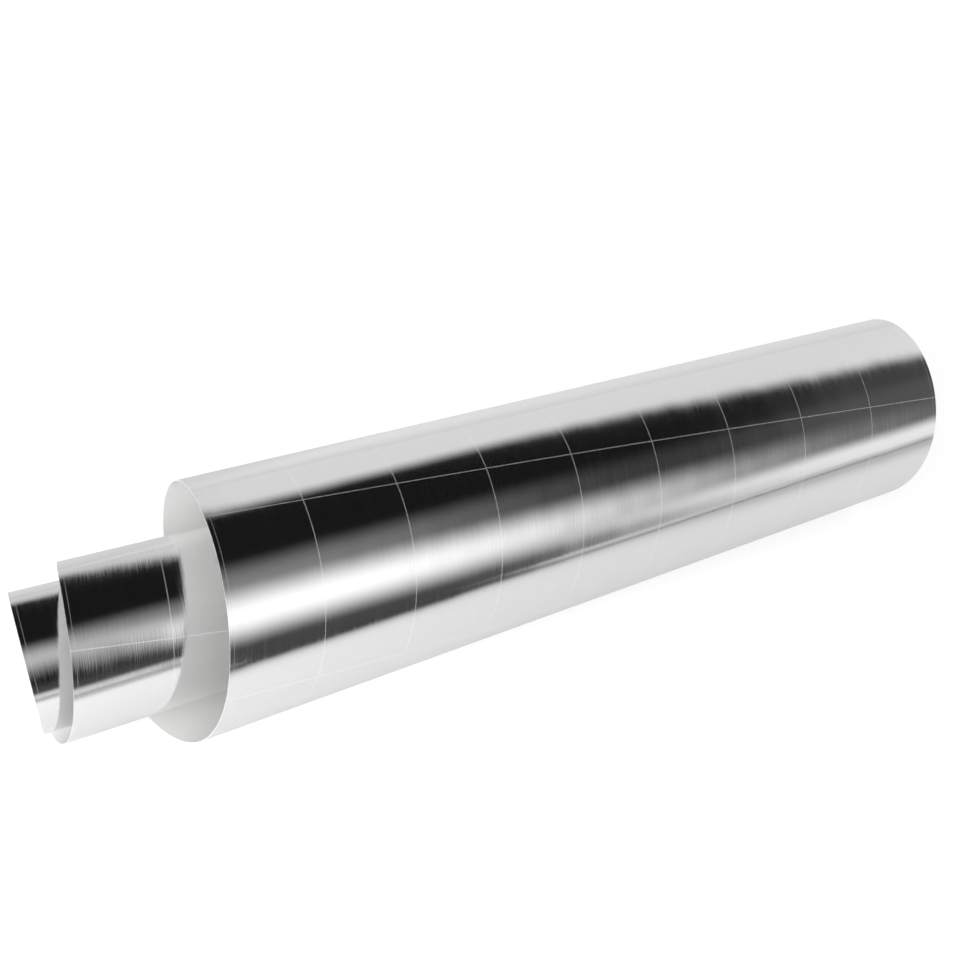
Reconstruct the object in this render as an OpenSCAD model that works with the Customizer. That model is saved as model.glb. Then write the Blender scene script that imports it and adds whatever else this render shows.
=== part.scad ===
// A sheet of foil-backed parchment curled into a loose roll that lies on its side.
// The roll is wider at its left end, and its inner turns have slid out to the left.
// Origin: centre of the footprint, on the surface that the roll lies on. X runs along the roll.

/* [Sheet] */
// Width of the sheet, along the roll
sheet_w = 305; // [200:5:450]
// Thickness of the sheet as a solid
sheet_t = 0.4; // [0.3:0.05:0.6]

/* [Outer turn] */
// Radius of the outer turn at the roll's left end
outer_r_left = 51; // [46:1:60]
// Radius of the outer turn at the roll's right end
outer_r_right = 40; // [36:1:50]

/* [Inner turns] */
// Radius that the turns wind down to at the left end
inner_r_left = 20; // [12:1:26]
// Radius that the turns wind down to at the right end
inner_r_right = 14; // [8:1:18]
// Turns that the sheet shows, from the back over the top and in to the inner cut end
turns = 2.6; // [1.5:0.05:2.9]
// Part of a turn that runs on down the back to the outer cut end
tail_turn = 0.12; // [0.02:0.01:0.16]
// Turns in which the spare radius falls to about a third
tighten_turns = 0.97; // [0.9:0.01:1.3]
// How far the outer turn's centre lies in front of the inner turns' centre, at the left end
centre_lead = 12; // [0:1:16]

/* [Slide] */
// How far the inner turns have slid out to the left
slide_out = 62; // [0:1:100]
// Turns over which most of that slide happens
slide_turns = 0.95; // [0.6:0.05:1.5]
// How far the innermost turn leans, so that its left edge lies further out in front
rim_lean = 3.5; // [0:0.5:6]

/* [Rest] */
// How much of the round underside is pressed flat by the sheet's weight
flat_depth = 0.6; // [0.2:0.1:1]

/* [Smoothness] */
// Angle of one step along the curl
step_deg = 5; // [3:1:10]
// Strips across the sheet's width
strips = 4; // [2:1:8]

/* [Hidden] */

// Angle of the sheet at turn 0, up from the back
start_deg = 12;
// Turn at which the outer turn passes its lowest point
low_turn = (270 - start_deg) / 360;
// Turn past which the innermost turn leans, and the part of a turn over which the lean sets in
lean_turn = 1.56;
lean_ease = 0.25;
// Share of a turn's loss of radius by which its centre sinks towards the surface
sink = 0.46;
steps = round((tail_turn + turns) * 360 / step_deg);
function turn_at(s) = -tail_turn + (tail_turn + turns) * s / steps;
foil_colour = [0.80, 0.81, 0.82];

// Radius at a turn, where f is 0 at the sheet's first left edge and 1 at its right edge
function radius_at(turn, f) =
    let (spare = exp(-turn / tighten_turns))
    let (left = inner_r_left + (outer_r_left - inner_r_left) * spare)
    let (right = inner_r_right + (outer_r_right - inner_r_right) * spare)
    left + (right - left) * f;

// Y of the curl's centre: the outer turn leads to the front at the left end
function centre_y(turn, f) = -centre_lead * exp(-turn / tighten_turns) * (1 - f);

// Z of the curl's centre: the outer turn touches the surface and inner turns hang above it
function centre_z(turn, f) =
    let (low_r = radius_at(low_turn, f))
    low_r + sink * (radius_at(turn, f) - low_r);

// How far a turn has slid out to the left, with the lean of the innermost turn
function slide_at(turn) =
    let (slid = turn <= 0 ? 0 : slide_out * (1 - exp(-pow(turn / slide_turns, 2))))
    let (past = max(turn - lean_turn, 0))
    slid - rim_lean * min(past / lean_ease, 1) * sin(360 * past);

// Point of the sheet: across runs from 0 at the left edge to 1 at the right, depth in from the foil
function sheet_point(turn, across, depth) =
    let (x = across * sheet_w - slide_at(turn))
    let (f = x / sheet_w)
    let (angle = start_deg + 360 * turn)
    let (r = radius_at(turn, f) - depth)
    let (z = centre_z(turn, f) + r * sin(angle))
    [x, centre_y(turn, f) + r * cos(angle), max(z - flat_depth, depth)];

// Ring of points round the sheet's section at a turn: foil face to the right, then back
function ring(turn) = [
    for (i = [0 : strips]) sheet_point(turn, i / strips, 0),
    for (i = [strips : -1 : 0]) sheet_point(turn, i / strips, sheet_t)
];
ring_size = 2 * (strips + 1);

points = [for (s = [0 : steps]) each ring(turn_at(s))];
xs = [for (p = points) p.x];
ys = [for (p = points) p.y];
middle = [(min(xs) + max(xs)) / 2, (min(ys) + max(ys)) / 2, 0];

// Faces between ring s and the next one
function band(s) = [
    for (i = [0 : ring_size - 1])
        let (a = s * ring_size + i)
        let (b = s * ring_size + (i + 1) % ring_size)
        each [[a, b, b + ring_size], [a, b + ring_size, a + ring_size]]
];

// Faces that close the cut end at ring s, as a strip from the left edge to the right one
function cut_end(s, outward) = [
    for (i = [0 : strips - 1])
        let (a = s * ring_size + i)
        let (b = s * ring_size + ring_size - 1 - i)
        each outward ? [[a, b, b - 1], [a, b - 1, a + 1]] : [[a, b - 1, b], [a, a + 1, b - 1]]
];

module rolled_sheet() {
    color(foil_colour)
        translate(-middle)
            polyhedron(
                points = points,
                faces = concat(
                    cut_end(0, true),
                    [for (s = [0 : steps - 1]) each band(s)],
                    cut_end(steps, false)
                ),
                convexity = 12
            );
}

rolled_sheet();
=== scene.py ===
"""Looks of a loose roll of foil-backed parchment, lying on its side on a pale floor."""

import math

import bmesh
import bpy
from mathutils import Matrix, Vector


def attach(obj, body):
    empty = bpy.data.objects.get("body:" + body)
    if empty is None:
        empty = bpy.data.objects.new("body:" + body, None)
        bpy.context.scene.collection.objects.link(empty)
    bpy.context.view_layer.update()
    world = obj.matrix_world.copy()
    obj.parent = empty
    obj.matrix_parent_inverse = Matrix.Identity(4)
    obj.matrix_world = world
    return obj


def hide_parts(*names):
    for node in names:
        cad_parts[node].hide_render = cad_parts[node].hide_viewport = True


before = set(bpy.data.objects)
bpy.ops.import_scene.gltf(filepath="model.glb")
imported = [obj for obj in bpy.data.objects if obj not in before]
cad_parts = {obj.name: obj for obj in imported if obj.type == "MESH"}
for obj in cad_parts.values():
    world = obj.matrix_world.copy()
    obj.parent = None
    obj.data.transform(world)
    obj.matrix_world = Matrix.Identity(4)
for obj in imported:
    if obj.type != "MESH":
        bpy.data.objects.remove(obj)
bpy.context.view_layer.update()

MM = 0.001

# The sheet and its curl, with the same values as the part's source, in millimetres
SHEET_W = 305.0
OUTER_R_LEFT = 51.0
OUTER_R_RIGHT = 40.0
INNER_R_LEFT = 20.0
INNER_R_RIGHT = 14.0
TURNS = 2.6
TAIL_TURN = 0.12
TIGHTEN_TURNS = 0.97
CENTRE_LEAD = 12.0
SLIDE_OUT = 62.0
SLIDE_TURNS = 0.95
RIM_LEAN = 3.5
LEAN_TURN = 1.56
LEAN_EASE = 0.25
FLAT_DEPTH = 0.6
START_DEG = 12.0
SINK = 0.46
LOW_TURN = (270 - START_DEG) / 360

# The visible sheet is thinner than the solid and keeps to its outline. It has this many steps
# along the curl and across the sheet.
FILM_T = 0.14
STATIONS = 420
COLUMNS = 62
SHARP_EDGE_DEG = 50
UV_NAME = "sheet"
FOIL_SLOT = 0
PARCHMENT_SLOT = 1

# Frosty grid lines on the foil: nine cells across the sheet, each about twice as long
CELL_W = SHEET_W / 9
CELL_L = 65.0
GRID_LINE_W = 0.44
GRID_PHASE = 49.3
# Fainter lines just inside the two long edges of the sheet
EDGE_LINE_IN = 1.6
EDGE_LINE_SHARE = 0.45
# Share of a line's half width at full strength, and how much frost and roughness a line adds
LINE_CORE = 0.4
LINE_FROST = 0.2
LINE_ROUGH = 0.04
# How far the cross lines lean against the straight lines of the curl, and the turn past which
# the sheet is twisted the other way as it winds in
CROSS_LEAN = 0.055
TWIST_TURN = 0.35
TWIST = 0.132

# Rolling streaks, faint dents and paper fibres. A scale is per metre across and along the sheet,
# a noise is its detail and roughness, and a height is in millimetres.
STREAK_SCALE = (2600, 45, 1)
STREAK_NOISE = (3.0, 0.6)
STREAK_H = 0.009
DENT_SCALE = (28, 14, 1)
DENT_NOISE = (2.0, 0.5)
DENT_H = 0.25
FIBRE_SCALE = (420, 420, 420)
FIBRE_NOISE = (4.0, 0.65)
FIBRE_H = 0.03

# The darker and the lighter tone of each face
FOIL_TONES = ((0.87, 0.872, 0.878, 1), (0.945, 0.947, 0.952, 1))
PARCHMENT_TONES = ((0.90, 0.895, 0.88, 1), (0.95, 0.945, 0.935, 1))
PARCHMENT_ROUGH = 0.6
PARCHMENT_SPECULAR = 0.3

# A ramp is where it starts and ends, then its value before and after. A band is its centre,
# half its width, and how far its soft edge reaches.
FOIL_ROUGH_RAMP = (0.25, 0.75, 0.06, 0.14)

# Even light from all round, and the lamp that lights the parchment in the open left end
EVEN_LIGHT = 0.97
LAMP_WATTS = 2.7
LAMP_W = 0.5
LAMP_PLACE = (-0.46, -0.27, 0.36)
LAMP_AIM = (-0.13, -0.02, 0.03)

# The floor: its size and colour, its own light for the camera, and the share of that light
FLOOR_W = 6
FLOOR_COLOUR = 0.95
FLOOR_GLOW = 1.07
FLOOR_GLOW_SHARE = 0.5

# Painted reflection: the floor's colour as the foil shows it, in metres, painted darker and
# lighter to stand in for the studio that the foil reflects. The left part turns dark with
# distance in front, but stays pale far to the left. The right part has a painted dark edge.
PAINTED_REFLECTION_LEFT = (0.20, 0.66, 0.63, 0.05)
PAINTED_REFLECTION_FAR_LEFT = (-0.22, -0.15, 0.42, 0.0)
PAINTED_REFLECTION_RIGHT = (0.08, 0.24, 0.68, 0.46)
PAINTED_REFLECTION_PAST_EDGE = (0.46, 0.56, 0.0, 0.12)
# Painted dark line in the floor's colour as the foil shows it, standing in for a shaded gap
PAINTED_DARK_EDGE = (0.46, 0.03, 0.05)
PAINTED_DARK_EDGE_DEPTH = 0.36
PAINTED_REFLECTION_BEHIND = (-0.10, 0.02, 0.54, 0.69)
PAINTED_REFLECTION_FRONT_START = (-0.08, -0.02, 0.0, 1.0)
# Two leaning lines past which the right part shows, and the ramp over each
SPLIT_LEAN = 0.4
SPLIT_RAMP = (0.02, 0.22, 0.0, 1.0)
FAR_SPLIT_LEAN = 0.58
FAR_SPLIT_RAMP = (-0.05, 0.03, 0.0, 1.0)

# The studio as the foil shows it. Heights and bands are degrees round the roll's axis, and most
# ramps run over how far a direction points to the right, from 0 to 1.
WALL_TOP_LEFT = (0.20, 0.36, 10, 37)
WALL_TOP_RIGHT = (0.47, 0.88, 0, 45)
WALL_EDGE = (-8, 9, 1.0, 0.0)
WALL_LEVEL = (0.24, 0.33, 0.60, 0.72)
BOX_CENTRE_LEFT = (0.20, 0.36, 118, 140)
BOX_CENTRE_RIGHT = (0.35, 0.65, 0, 8)
BOX_HALF_W = 1.5
BOX_SOFT = 29
BOX_END = (0.28, 0.37, 0.25, 1.0)
BOX_FADE = (0.44, 0.73, 1.18, 0.07)
GLOW_BAND = (113, 2, 24)
GLOW_FADE = (0.42, 0.60, 0.21, 0.03)
LOW_BOX_BAND = (174, 4, 19)
LOW_BOX_FADE = (0.50, 0.68, 0.05, 0.80)
STRIP_START = (170, 177, 0.0, 1.0)
STRIP_END = (0.28, 0.33, 0.62, 0.0)
ROOM_LEVEL = (0.64, 0.70, 0.009, 0.058)

# The camera's direction in degrees, its place in metres, and its focal length in pixels of the
# photograph, which is as wide as PHOTO_W
CAMERA_AZIMUTH = 39.78
CAMERA_ELEVATION = 50.99
CAMERA_ROLL = 17.53
CAMERA_PLACE = (-0.26685, -0.29487, 0.54353)
FOCAL_PX = 1748.6
PHOTO_W = 960
SENSOR_W = 36


def radius_at(turn, f):
    """Radius of the curl at a turn; f is 0 at the first left edge and 1 at the right one."""
    spare = math.exp(-turn / TIGHTEN_TURNS)
    left = INNER_R_LEFT + (OUTER_R_LEFT - INNER_R_LEFT) * spare
    right = INNER_R_RIGHT + (OUTER_R_RIGHT - INNER_R_RIGHT) * spare
    return left + (right - left) * f


def slide_at(turn):
    """How far a turn has slid out to the left, with the lean of the innermost turn."""
    if turn <= 0:
        return 0.0
    slid = SLIDE_OUT * (1 - math.exp(-((turn / SLIDE_TURNS) ** 2)))
    past = max(turn - LEAN_TURN, 0)
    return slid - RIM_LEAN * min(past / LEAN_EASE, 1) * math.sin(2 * math.pi * past)


def sheet_point(turn, across, depth):
    """Point of the sheet in the part's source frame, before its origin is centred."""
    x = across * SHEET_W - slide_at(turn)
    f = x / SHEET_W
    angle = math.radians(START_DEG + 360 * turn)
    r = radius_at(turn, f) - depth
    low_r = radius_at(LOW_TURN, f)
    centre_z = low_r + SINK * (radius_at(turn, f) - low_r)
    centre_y = -CENTRE_LEAD * math.exp(-turn / TIGHTEN_TURNS) * (1 - f)
    z = centre_z + r * math.sin(angle)
    return Vector((x, centre_y + r * math.cos(angle), max(z - FLAT_DEPTH, depth)))


def curl_rows(turns, acrosses, depth):
    """Points of the sheet at one depth, with a row for each turn value."""
    return [[sheet_point(turn, across, depth) for across in acrosses] for turn in turns]


def middle_of(rows):
    """The point that goes to the origin: the middle of the rows in X and Y, at the floor."""
    every = [p for row in rows for p in row]
    return Vector((
        (min(p.x for p in every) + max(p.x for p in every)) / 2,
        (min(p.y for p in every) + max(p.y for p in every)) / 2,
        0,
    ))


def lengths_along(rows):
    """Length along the sheet from its first row to each point."""
    lengths = [[0.0] * len(rows[0])]
    for before, row in zip(rows, rows[1:]):
        lengths.append([so_far + (q - p).length for so_far, p, q in zip(lengths[-1], before, row)])
    return lengths


def flat_places(turns, acrosses, lengths):
    """Where each point lies on the flat sheet, in metres, sheared as the cross lines lean."""
    zero = min(range(len(turns)), key=lambda s: abs(turns[s]))
    places = []
    for s, turn in enumerate(turns):
        lean = CROSS_LEAN - TWIST * max(turn - TWIST_TURN, 0)
        row = []
        for c, across in enumerate(acrosses):
            u = across * SHEET_W
            v = lengths[s][c] - lengths[zero][c] - lean * u
            row.append((u * MM, v * MM))
        places.append(row)
    return places


def sheet_faces(foil, paper):
    """The corners and material slot of each face; the cut edges show parchment."""
    for s in range(STATIONS):
        for c in range(COLUMNS):
            a, b = foil[s], foil[s + 1]
            yield (a[c], a[c + 1], b[c + 1], b[c]), FOIL_SLOT
            a, b = paper[s], paper[s + 1]
            yield (a[c], b[c], b[c + 1], a[c + 1]), PARCHMENT_SLOT
        for c, flip in ((0, False), (COLUMNS, True)):
            rim = (foil[s][c], foil[s + 1][c], paper[s + 1][c], paper[s][c])
            yield rim[::-1] if flip else rim, PARCHMENT_SLOT
    for s, flip in ((0, False), (STATIONS, True)):
        for c in range(COLUMNS):
            end = (foil[s][c], paper[s][c], paper[s][c + 1], foil[s][c + 1])
            yield end[::-1] if flip else end, PARCHMENT_SLOT


def build_sheet():
    """One closed, thin, curled sheet: foil face, parchment face and the cut edges between."""
    turns = [-TAIL_TURN + (TAIL_TURN + TURNS) * s / STATIONS for s in range(STATIONS + 1)]
    acrosses = [c / COLUMNS for c in range(COLUMNS + 1)]
    outer = curl_rows(turns, acrosses, 0.0)
    inner = curl_rows(turns, acrosses, FILM_T)
    middle = middle_of(outer)
    places = flat_places(turns, acrosses, lengths_along(outer))

    bm = bmesh.new()
    uv_layer = bm.loops.layers.uv.new(UV_NAME)
    foil = [[bm.verts.new((p - middle) * MM) for p in row] for row in outer]
    paper = [[bm.verts.new((p - middle) * MM) for p in row] for row in inner]
    place_of = {}
    for face_rows in (foil, paper):
        for verts, row in zip(face_rows, places):
            place_of.update(zip(verts, row))
    for corners, slot in sheet_faces(foil, paper):
        made = bm.faces.new(corners)
        made.material_index = slot
        made.smooth = True
        for loop in made.loops:
            loop[uv_layer].uv = place_of[loop.vert]
    bmesh.ops.recalc_face_normals(bm, faces=bm.faces)
    for edge in bm.edges:
        if edge.calc_face_angle(0) > math.radians(SHARP_EDGE_DEG):
            edge.smooth = False

    mesh = bpy.data.meshes.new("curled_sheet")
    bm.to_mesh(mesh)
    bm.free()
    sheet = bpy.data.objects.new("curled_sheet", mesh)
    bpy.context.collection.objects.link(sheet)
    return sheet


def node(tree, kind, **values):
    """A shader node, with inputs set by name and other values set as attributes."""
    made = tree.nodes.new(kind)
    for key, value in values.items():
        if key in made.inputs:
            made.inputs[key].default_value = value
        else:
            setattr(made, key, value)
    return made


def maths(tree, operation, a, b=None):
    """A Math node's output; each value is a number or a socket."""
    made = tree.nodes.new("ShaderNodeMath")
    made.operation = operation
    for socket, value in zip(made.inputs, (a, b)):
        if value is None:
            continue
        if isinstance(value, (int, float)):
            socket.default_value = value
        else:
            tree.links.new(value, socket)
    return made.outputs[0]


def mixed(tree, factor, a, b):
    """A mix of two numbers or sockets, from a at factor 0 to b at factor 1."""
    made = tree.nodes.new("ShaderNodeMix")
    for name, value in (("Factor", factor), ("A", a), ("B", b)):
        if isinstance(value, (int, float)):
            made.inputs[name].default_value = value
        else:
            tree.links.new(value, made.inputs[name])
    return made.outputs["Result"]


def smooth_step(tree, value, low, high, out_low, out_high):
    """A smooth step of value from out_low at low to out_high at high."""
    made = tree.nodes.new("ShaderNodeMapRange")
    made.interpolation_type = "SMOOTHSTEP"
    tree.links.new(value, made.inputs["Value"])
    made.inputs["From Min"].default_value = low
    made.inputs["From Max"].default_value = high
    made.inputs["To Min"].default_value = out_low
    made.inputs["To Max"].default_value = out_high
    return made.outputs["Result"]


def band_of(tree, value, centre, half_width, soft):
    """1 within half_width of centre, falling smoothly to 0 over the soft edge."""
    away = maths(tree, "ABSOLUTE", maths(tree, "SUBTRACT", value, centre))
    return smooth_step(tree, away, half_width, half_width + soft, 1.0, 0.0)


def new_material(name):
    """A material with a plain Principled surface; returns it, its tree and the shader."""
    material = bpy.data.materials.new(name)
    material.use_nodes = True
    tree = material.node_tree
    return material, tree, tree.nodes["Principled BSDF"]


def sheet_noise(tree, place, scale, detail, roughness):
    """Noise on the flat sheet, with its own scale across and along."""
    stretched = node(tree, "ShaderNodeVectorMath", operation="MULTIPLY")
    stretched.inputs[1].default_value = scale
    tree.links.new(place, stretched.inputs[0])
    made = node(tree, "ShaderNodeTexNoise", Scale=1.0, Detail=detail, Roughness=roughness)
    tree.links.new(stretched.outputs[0], made.inputs["Vector"])
    return made.outputs["Fac"]


def set_tones(tree, shader, factor, tones):
    """Colours the shader between its darker and its lighter tone."""
    tone = node(tree, "ShaderNodeMix", data_type="RGBA")
    tone.inputs["A"].default_value, tone.inputs["B"].default_value = tones
    tree.links.new(factor, tone.inputs["Factor"])
    tree.links.new(tone.outputs["Result"], shader.inputs["Base Color"])


def set_bump(tree, shader, height):
    """Bumps the shader by a height in metres."""
    bump = node(tree, "ShaderNodeBump", Strength=1.0, Distance=1.0)
    tree.links.new(height, bump.inputs["Height"])
    tree.links.new(bump.outputs["Normal"], shader.inputs["Normal"])


def line_mask(tree, coordinate, cell, phase, half_w):
    """1 on thin lines that repeat every cell, 0 between them; everything in metres."""
    shifted = maths(tree, "SUBTRACT", coordinate, phase)
    cells = maths(tree, "DIVIDE", shifted, cell)
    from_line = maths(tree, "ABSOLUTE", maths(tree, "SUBTRACT", cells, maths(tree, "ROUND", cells)))
    distance = maths(tree, "MULTIPLY", from_line, cell)
    return smooth_step(tree, distance, half_w * LINE_CORE, half_w, 1.0, 0.0)


def grid_lines(tree, across, along):
    """1 on the foil's grid lines, less on its edge lines, and 0 between them."""
    half_w = GRID_LINE_W / 2 * MM
    cross = line_mask(tree, along, CELL_L * MM, GRID_PHASE * MM, half_w)
    length = line_mask(tree, across, CELL_W * MM, 0.0, half_w)
    from_left = maths(tree, "ABSOLUTE", maths(tree, "SUBTRACT", across, EDGE_LINE_IN * MM))
    right_line = (SHEET_W - EDGE_LINE_IN) * MM
    from_right = maths(tree, "ABSOLUTE", maths(tree, "SUBTRACT", across, right_line))
    from_edge = maths(tree, "MINIMUM", from_left, from_right)
    edge = smooth_step(tree, from_edge, half_w * LINE_CORE, half_w, EDGE_LINE_SHARE, 0.0)
    return maths(tree, "MAXIMUM", maths(tree, "MAXIMUM", cross, length), edge)


def foil_material():
    """Bright rolled foil with rolling streaks, faint dents and frosty grid lines."""
    material, tree, shader = new_material("foil")
    place = node(tree, "ShaderNodeUVMap", uv_map=UV_NAME).outputs["UV"]
    split = node(tree, "ShaderNodeSeparateXYZ")
    tree.links.new(place, split.inputs[0])
    streaks = sheet_noise(tree, place, STREAK_SCALE, *STREAK_NOISE)
    dents = sheet_noise(tree, place, DENT_SCALE, *DENT_NOISE)
    lines = grid_lines(tree, split.outputs["X"], split.outputs["Y"])

    set_tones(tree, shader, streaks, FOIL_TONES)
    frost = maths(tree, "MULTIPLY", lines, LINE_FROST)
    tree.links.new(maths(tree, "SUBTRACT", 1.0, frost), shader.inputs["Metallic"])
    rough = smooth_step(tree, streaks, *FOIL_ROUGH_RAMP)
    rough = maths(tree, "ADD", rough, maths(tree, "MULTIPLY", lines, LINE_ROUGH))
    tree.links.new(rough, shader.inputs["Roughness"])
    streak_height = maths(tree, "MULTIPLY", streaks, STREAK_H * MM)
    dent_height = maths(tree, "MULTIPLY", dents, DENT_H * MM)
    set_bump(tree, shader, maths(tree, "ADD", streak_height, dent_height))
    return material


def parchment_material():
    """Smooth white baking parchment with faint fibres and cloudy mottling."""
    material, tree, shader = new_material("parchment")
    place = node(tree, "ShaderNodeUVMap", uv_map=UV_NAME).outputs["UV"]
    fibres = sheet_noise(tree, place, FIBRE_SCALE, *FIBRE_NOISE)
    set_tones(tree, shader, fibres, PARCHMENT_TONES)
    shader.inputs["Roughness"].default_value = PARCHMENT_ROUGH
    shader.inputs["Specular IOR Level"].default_value = PARCHMENT_SPECULAR
    set_bump(tree, shader, maths(tree, "MULTIPLY", fibres, FIBRE_H * MM))
    return material


def seen_in_foil(tree):
    """1 for rays that come from the camera by way of mirror-like surfaces only, else 0."""
    path = node(tree, "ShaderNodeLightPath")
    straight = maths(tree, "LESS_THAN", path.outputs["Diffuse Depth"], 0.5)
    return maths(tree, "MULTIPLY", path.outputs["Is Glossy Ray"], straight)


def past_line(tree, right, in_front, lean):
    """How far right of a line a point lies, where the line leans right by lean per metre."""
    return maths(tree, "SUBTRACT", right, maths(tree, "MULTIPLY", in_front, lean))


def painted_reflection_on_floor(tree, right, in_front):
    """Painted reflection: how pale the foil shows the floor at a point, by its distance right and in
    front.
    """
    past_split = past_line(tree, right, in_front, SPLIT_LEAN)
    left_part = smooth_step(tree, in_front, *PAINTED_REFLECTION_LEFT)
    left_part = maths(tree, "MAXIMUM", left_part, smooth_step(tree, past_split, *PAINTED_REFLECTION_FAR_LEFT))

    right_part = smooth_step(tree, in_front, *PAINTED_REFLECTION_RIGHT)
    right_part = maths(tree, "ADD", right_part, smooth_step(tree, in_front, *PAINTED_REFLECTION_PAST_EDGE))
    edge = maths(tree, "MULTIPLY", band_of(tree, in_front, *PAINTED_DARK_EDGE), PAINTED_DARK_EDGE_DEPTH)
    right_part = maths(tree, "SUBTRACT", right_part, edge)

    past_far_split = past_line(tree, right, in_front, FAR_SPLIT_LEAN)
    share = smooth_step(tree, past_split, *SPLIT_RAMP)
    share = maths(tree, "MINIMUM", share, smooth_step(tree, past_far_split, *FAR_SPLIT_RAMP))
    front = mixed(tree, share, left_part, right_part)
    behind = smooth_step(tree, right, *PAINTED_REFLECTION_BEHIND)
    return mixed(tree, smooth_step(tree, in_front, *PAINTED_REFLECTION_FRONT_START), behind, front)


def build_floor():
    """A pale floor, which isn't part of the object; as the foil shows it, its colour is a painted
    reflection.
    """
    bpy.ops.mesh.primitive_plane_add(size=FLOOR_W)
    floor = bpy.context.object
    floor.name = "floor"
    material, tree, shader = new_material("pale_floor_with_painted_reflection")
    link = tree.links.new
    place = node(tree, "ShaderNodeTexCoord")
    split = node(tree, "ShaderNodeSeparateXYZ")
    link(place.outputs["Object"], split.inputs[0])
    in_front = maths(tree, "MULTIPLY", split.outputs["Y"], -1.0)
    # Painted reflection: for mirror rays the floor's colour is the painted pattern, for all others
    # plain pale
    painted_reflection = painted_reflection_on_floor(tree, split.outputs["X"], in_front)
    link(mixed(tree, seen_in_foil(tree), FLOOR_COLOUR, painted_reflection), shader.inputs["Base Color"])
    shader.inputs["Roughness"].default_value = 1.0
    shader.inputs["Specular IOR Level"].default_value = 0.0

    # For the camera, part of the floor's light is its own: it stays white and its shadows soft
    glow = node(tree, "ShaderNodeEmission", Strength=FLOOR_GLOW)
    path = node(tree, "ShaderNodeLightPath")
    whole = node(tree, "ShaderNodeMixShader")
    link(maths(tree, "MULTIPLY", path.outputs["Is Camera Ray"], FLOOR_GLOW_SHARE), whole.inputs[0])
    link(shader.outputs[0], whole.inputs[1])
    link(glow.outputs[0], whole.inputs[2])
    link(whole.outputs[0], tree.nodes["Material Output"].inputs["Surface"])
    floor.data.materials.append(material)


def build_lamp():
    """A soft lamp, up in front of the roll's left end, that lights the parchment inside it."""
    data = bpy.data.lights.new("fill", "AREA")
    data.size = LAMP_W
    data.energy = LAMP_WATTS
    lamp = bpy.data.objects.new("fill", data)
    place = Vector(LAMP_PLACE)
    turn = (Vector(LAMP_AIM) - place).to_track_quat("-Z", "Y").to_matrix().to_4x4()
    lamp.matrix_world = Matrix.Translation(place) @ turn
    # The foil doesn't show the lamp, which would be a white patch on it from some sides
    lamp.visible_glossy = False
    bpy.context.collection.objects.link(lamp)


def degrees_round_axis(tree, y, z):
    """Angle round the roll's axis: 0 at the back, 90 overhead, 180 in front, -90 to 270 below."""
    turn = maths(tree, "DIVIDE", maths(tree, "ARCTAN2", z, y), 2 * math.pi)
    turn = maths(tree, "FRACT", maths(tree, "ADD", turn, 0.25))
    return maths(tree, "SUBTRACT", maths(tree, "MULTIPLY", turn, 360), 90)


def back_wall(tree, side, degrees):
    """A wall at the back, up to an edge that climbs towards the right."""
    top = smooth_step(tree, side, *WALL_TOP_LEFT)
    top = maths(tree, "ADD", top, smooth_step(tree, side, *WALL_TOP_RIGHT))
    shape = smooth_step(tree, maths(tree, "SUBTRACT", degrees, top), *WALL_EDGE)
    return maths(tree, "MULTIPLY", shape, smooth_step(tree, side, *WALL_LEVEL))


def main_box(tree, side, degrees):
    """The main soft box in front, which ends on the left and fades out to the right."""
    centre = smooth_step(tree, side, *BOX_CENTRE_LEFT)
    centre = maths(tree, "ADD", centre, smooth_step(tree, side, *BOX_CENTRE_RIGHT))
    shape = band_of(tree, degrees, centre, BOX_HALF_W, BOX_SOFT)
    faded = maths(tree, "MULTIPLY", shape, smooth_step(tree, side, *BOX_FADE))
    return maths(tree, "MULTIPLY", faded, smooth_step(tree, side, *BOX_END))


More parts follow.
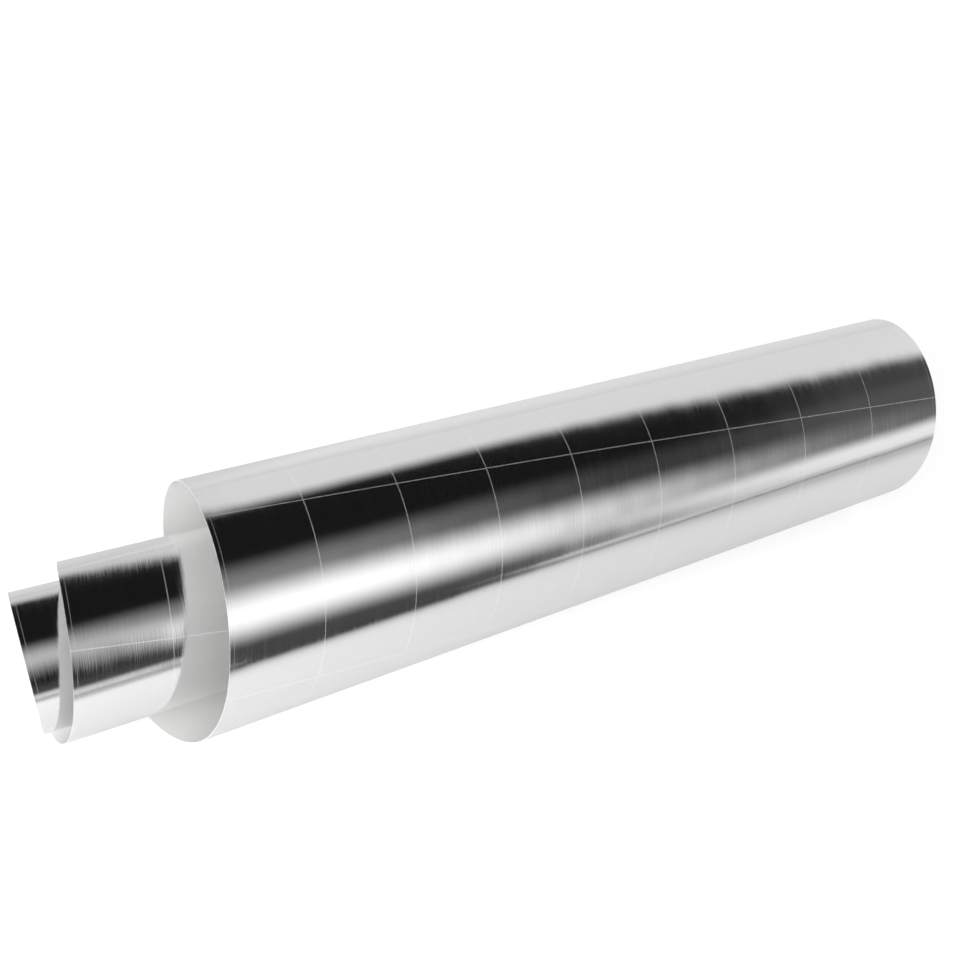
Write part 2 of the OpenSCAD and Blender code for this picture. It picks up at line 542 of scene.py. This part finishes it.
def studio_in_foil(tree, side, degrees):
    """How bright the foil shows the studio in a direction."""
    # Glow of the ceiling above the main soft box, and a low soft box that is bright to the right
    glow_fade = smooth_step(tree, side, *GLOW_FADE)
    glow = maths(tree, "MULTIPLY", band_of(tree, degrees, *GLOW_BAND), glow_fade)
    low_fade = smooth_step(tree, side, *LOW_BOX_FADE)
    low_box = maths(tree, "MULTIPLY", band_of(tree, degrees, *LOW_BOX_BAND), low_fade)
    # Pale strip just above the horizon in front, at the left only
    strip_end = smooth_step(tree, side, *STRIP_END)
    strip = maths(tree, "MULTIPLY", smooth_step(tree, degrees, *STRIP_START), strip_end)
    # Dark room behind them all, a little lighter at the far right
    total = smooth_step(tree, side, *ROOM_LEVEL)
    wall = back_wall(tree, side, degrees)
    for part in (wall, main_box(tree, side, degrees), glow, low_box, strip):
        total = maths(tree, "ADD", total, part)
    return total


def build_world():
    """Even white light for everything, and a studio of walls and soft boxes for the foil to show."""
    world = bpy.data.worlds.new("studio")
    bpy.context.scene.world = world
    world.use_nodes = True
    world.cycles.sampling_method = "NONE"
    tree = world.node_tree
    place = node(tree, "ShaderNodeTexCoord")
    split = node(tree, "ShaderNodeSeparateXYZ")
    tree.links.new(place.outputs["Generated"], split.inputs[0])
    degrees = degrees_round_axis(tree, split.outputs["Y"], split.outputs["Z"])
    studio = studio_in_foil(tree, split.outputs["X"], degrees)

    path = node(tree, "ShaderNodeLightPath")
    plain = mixed(tree, path.outputs["Is Camera Ray"], EVEN_LIGHT, 1.0)
    background = tree.nodes["Background"]
    background.inputs["Color"].default_value = (1, 1, 1, 1)
    strength = mixed(tree, seen_in_foil(tree), plain, studio)
    tree.links.new(strength, background.inputs["Strength"])


def build_camera():
    """The camera, at the photograph's viewing angle and turned a little about its line of sight."""
    azimuth = math.radians(CAMERA_AZIMUTH)
    elevation = math.radians(CAMERA_ELEVATION)
    roll = math.radians(CAMERA_ROLL)
    forward = Vector((
        math.sin(azimuth) * math.cos(elevation),
        math.cos(azimuth) * math.cos(elevation),
        -math.sin(elevation),
    ))
    level = Vector((math.cos(azimuth), -math.sin(azimuth), 0))
    upright = level.cross(forward)
    right = level * math.cos(roll) + upright * math.sin(roll)
    up = right.cross(forward)
    data = bpy.data.cameras.new("camera")
    data.sensor_width = SENSOR_W
    data.lens = SENSOR_W * FOCAL_PX / PHOTO_W
    camera = bpy.data.objects.new("camera", data)
    turn = Matrix((right, up, -forward)).transposed().to_4x4()
    camera.matrix_world = Matrix.Translation(CAMERA_PLACE) @ turn
    bpy.context.collection.objects.link(camera)
    bpy.context.scene.camera = camera


build_camera()
build_world()
build_lamp()
build_floor()
sheet = build_sheet()
sheet.data.materials.append(foil_material())
sheet.data.materials.append(parchment_material())
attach(sheet, "root")
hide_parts("rolled_sheet")
bpy.context.scene.view_settings.view_transform = "Standard"
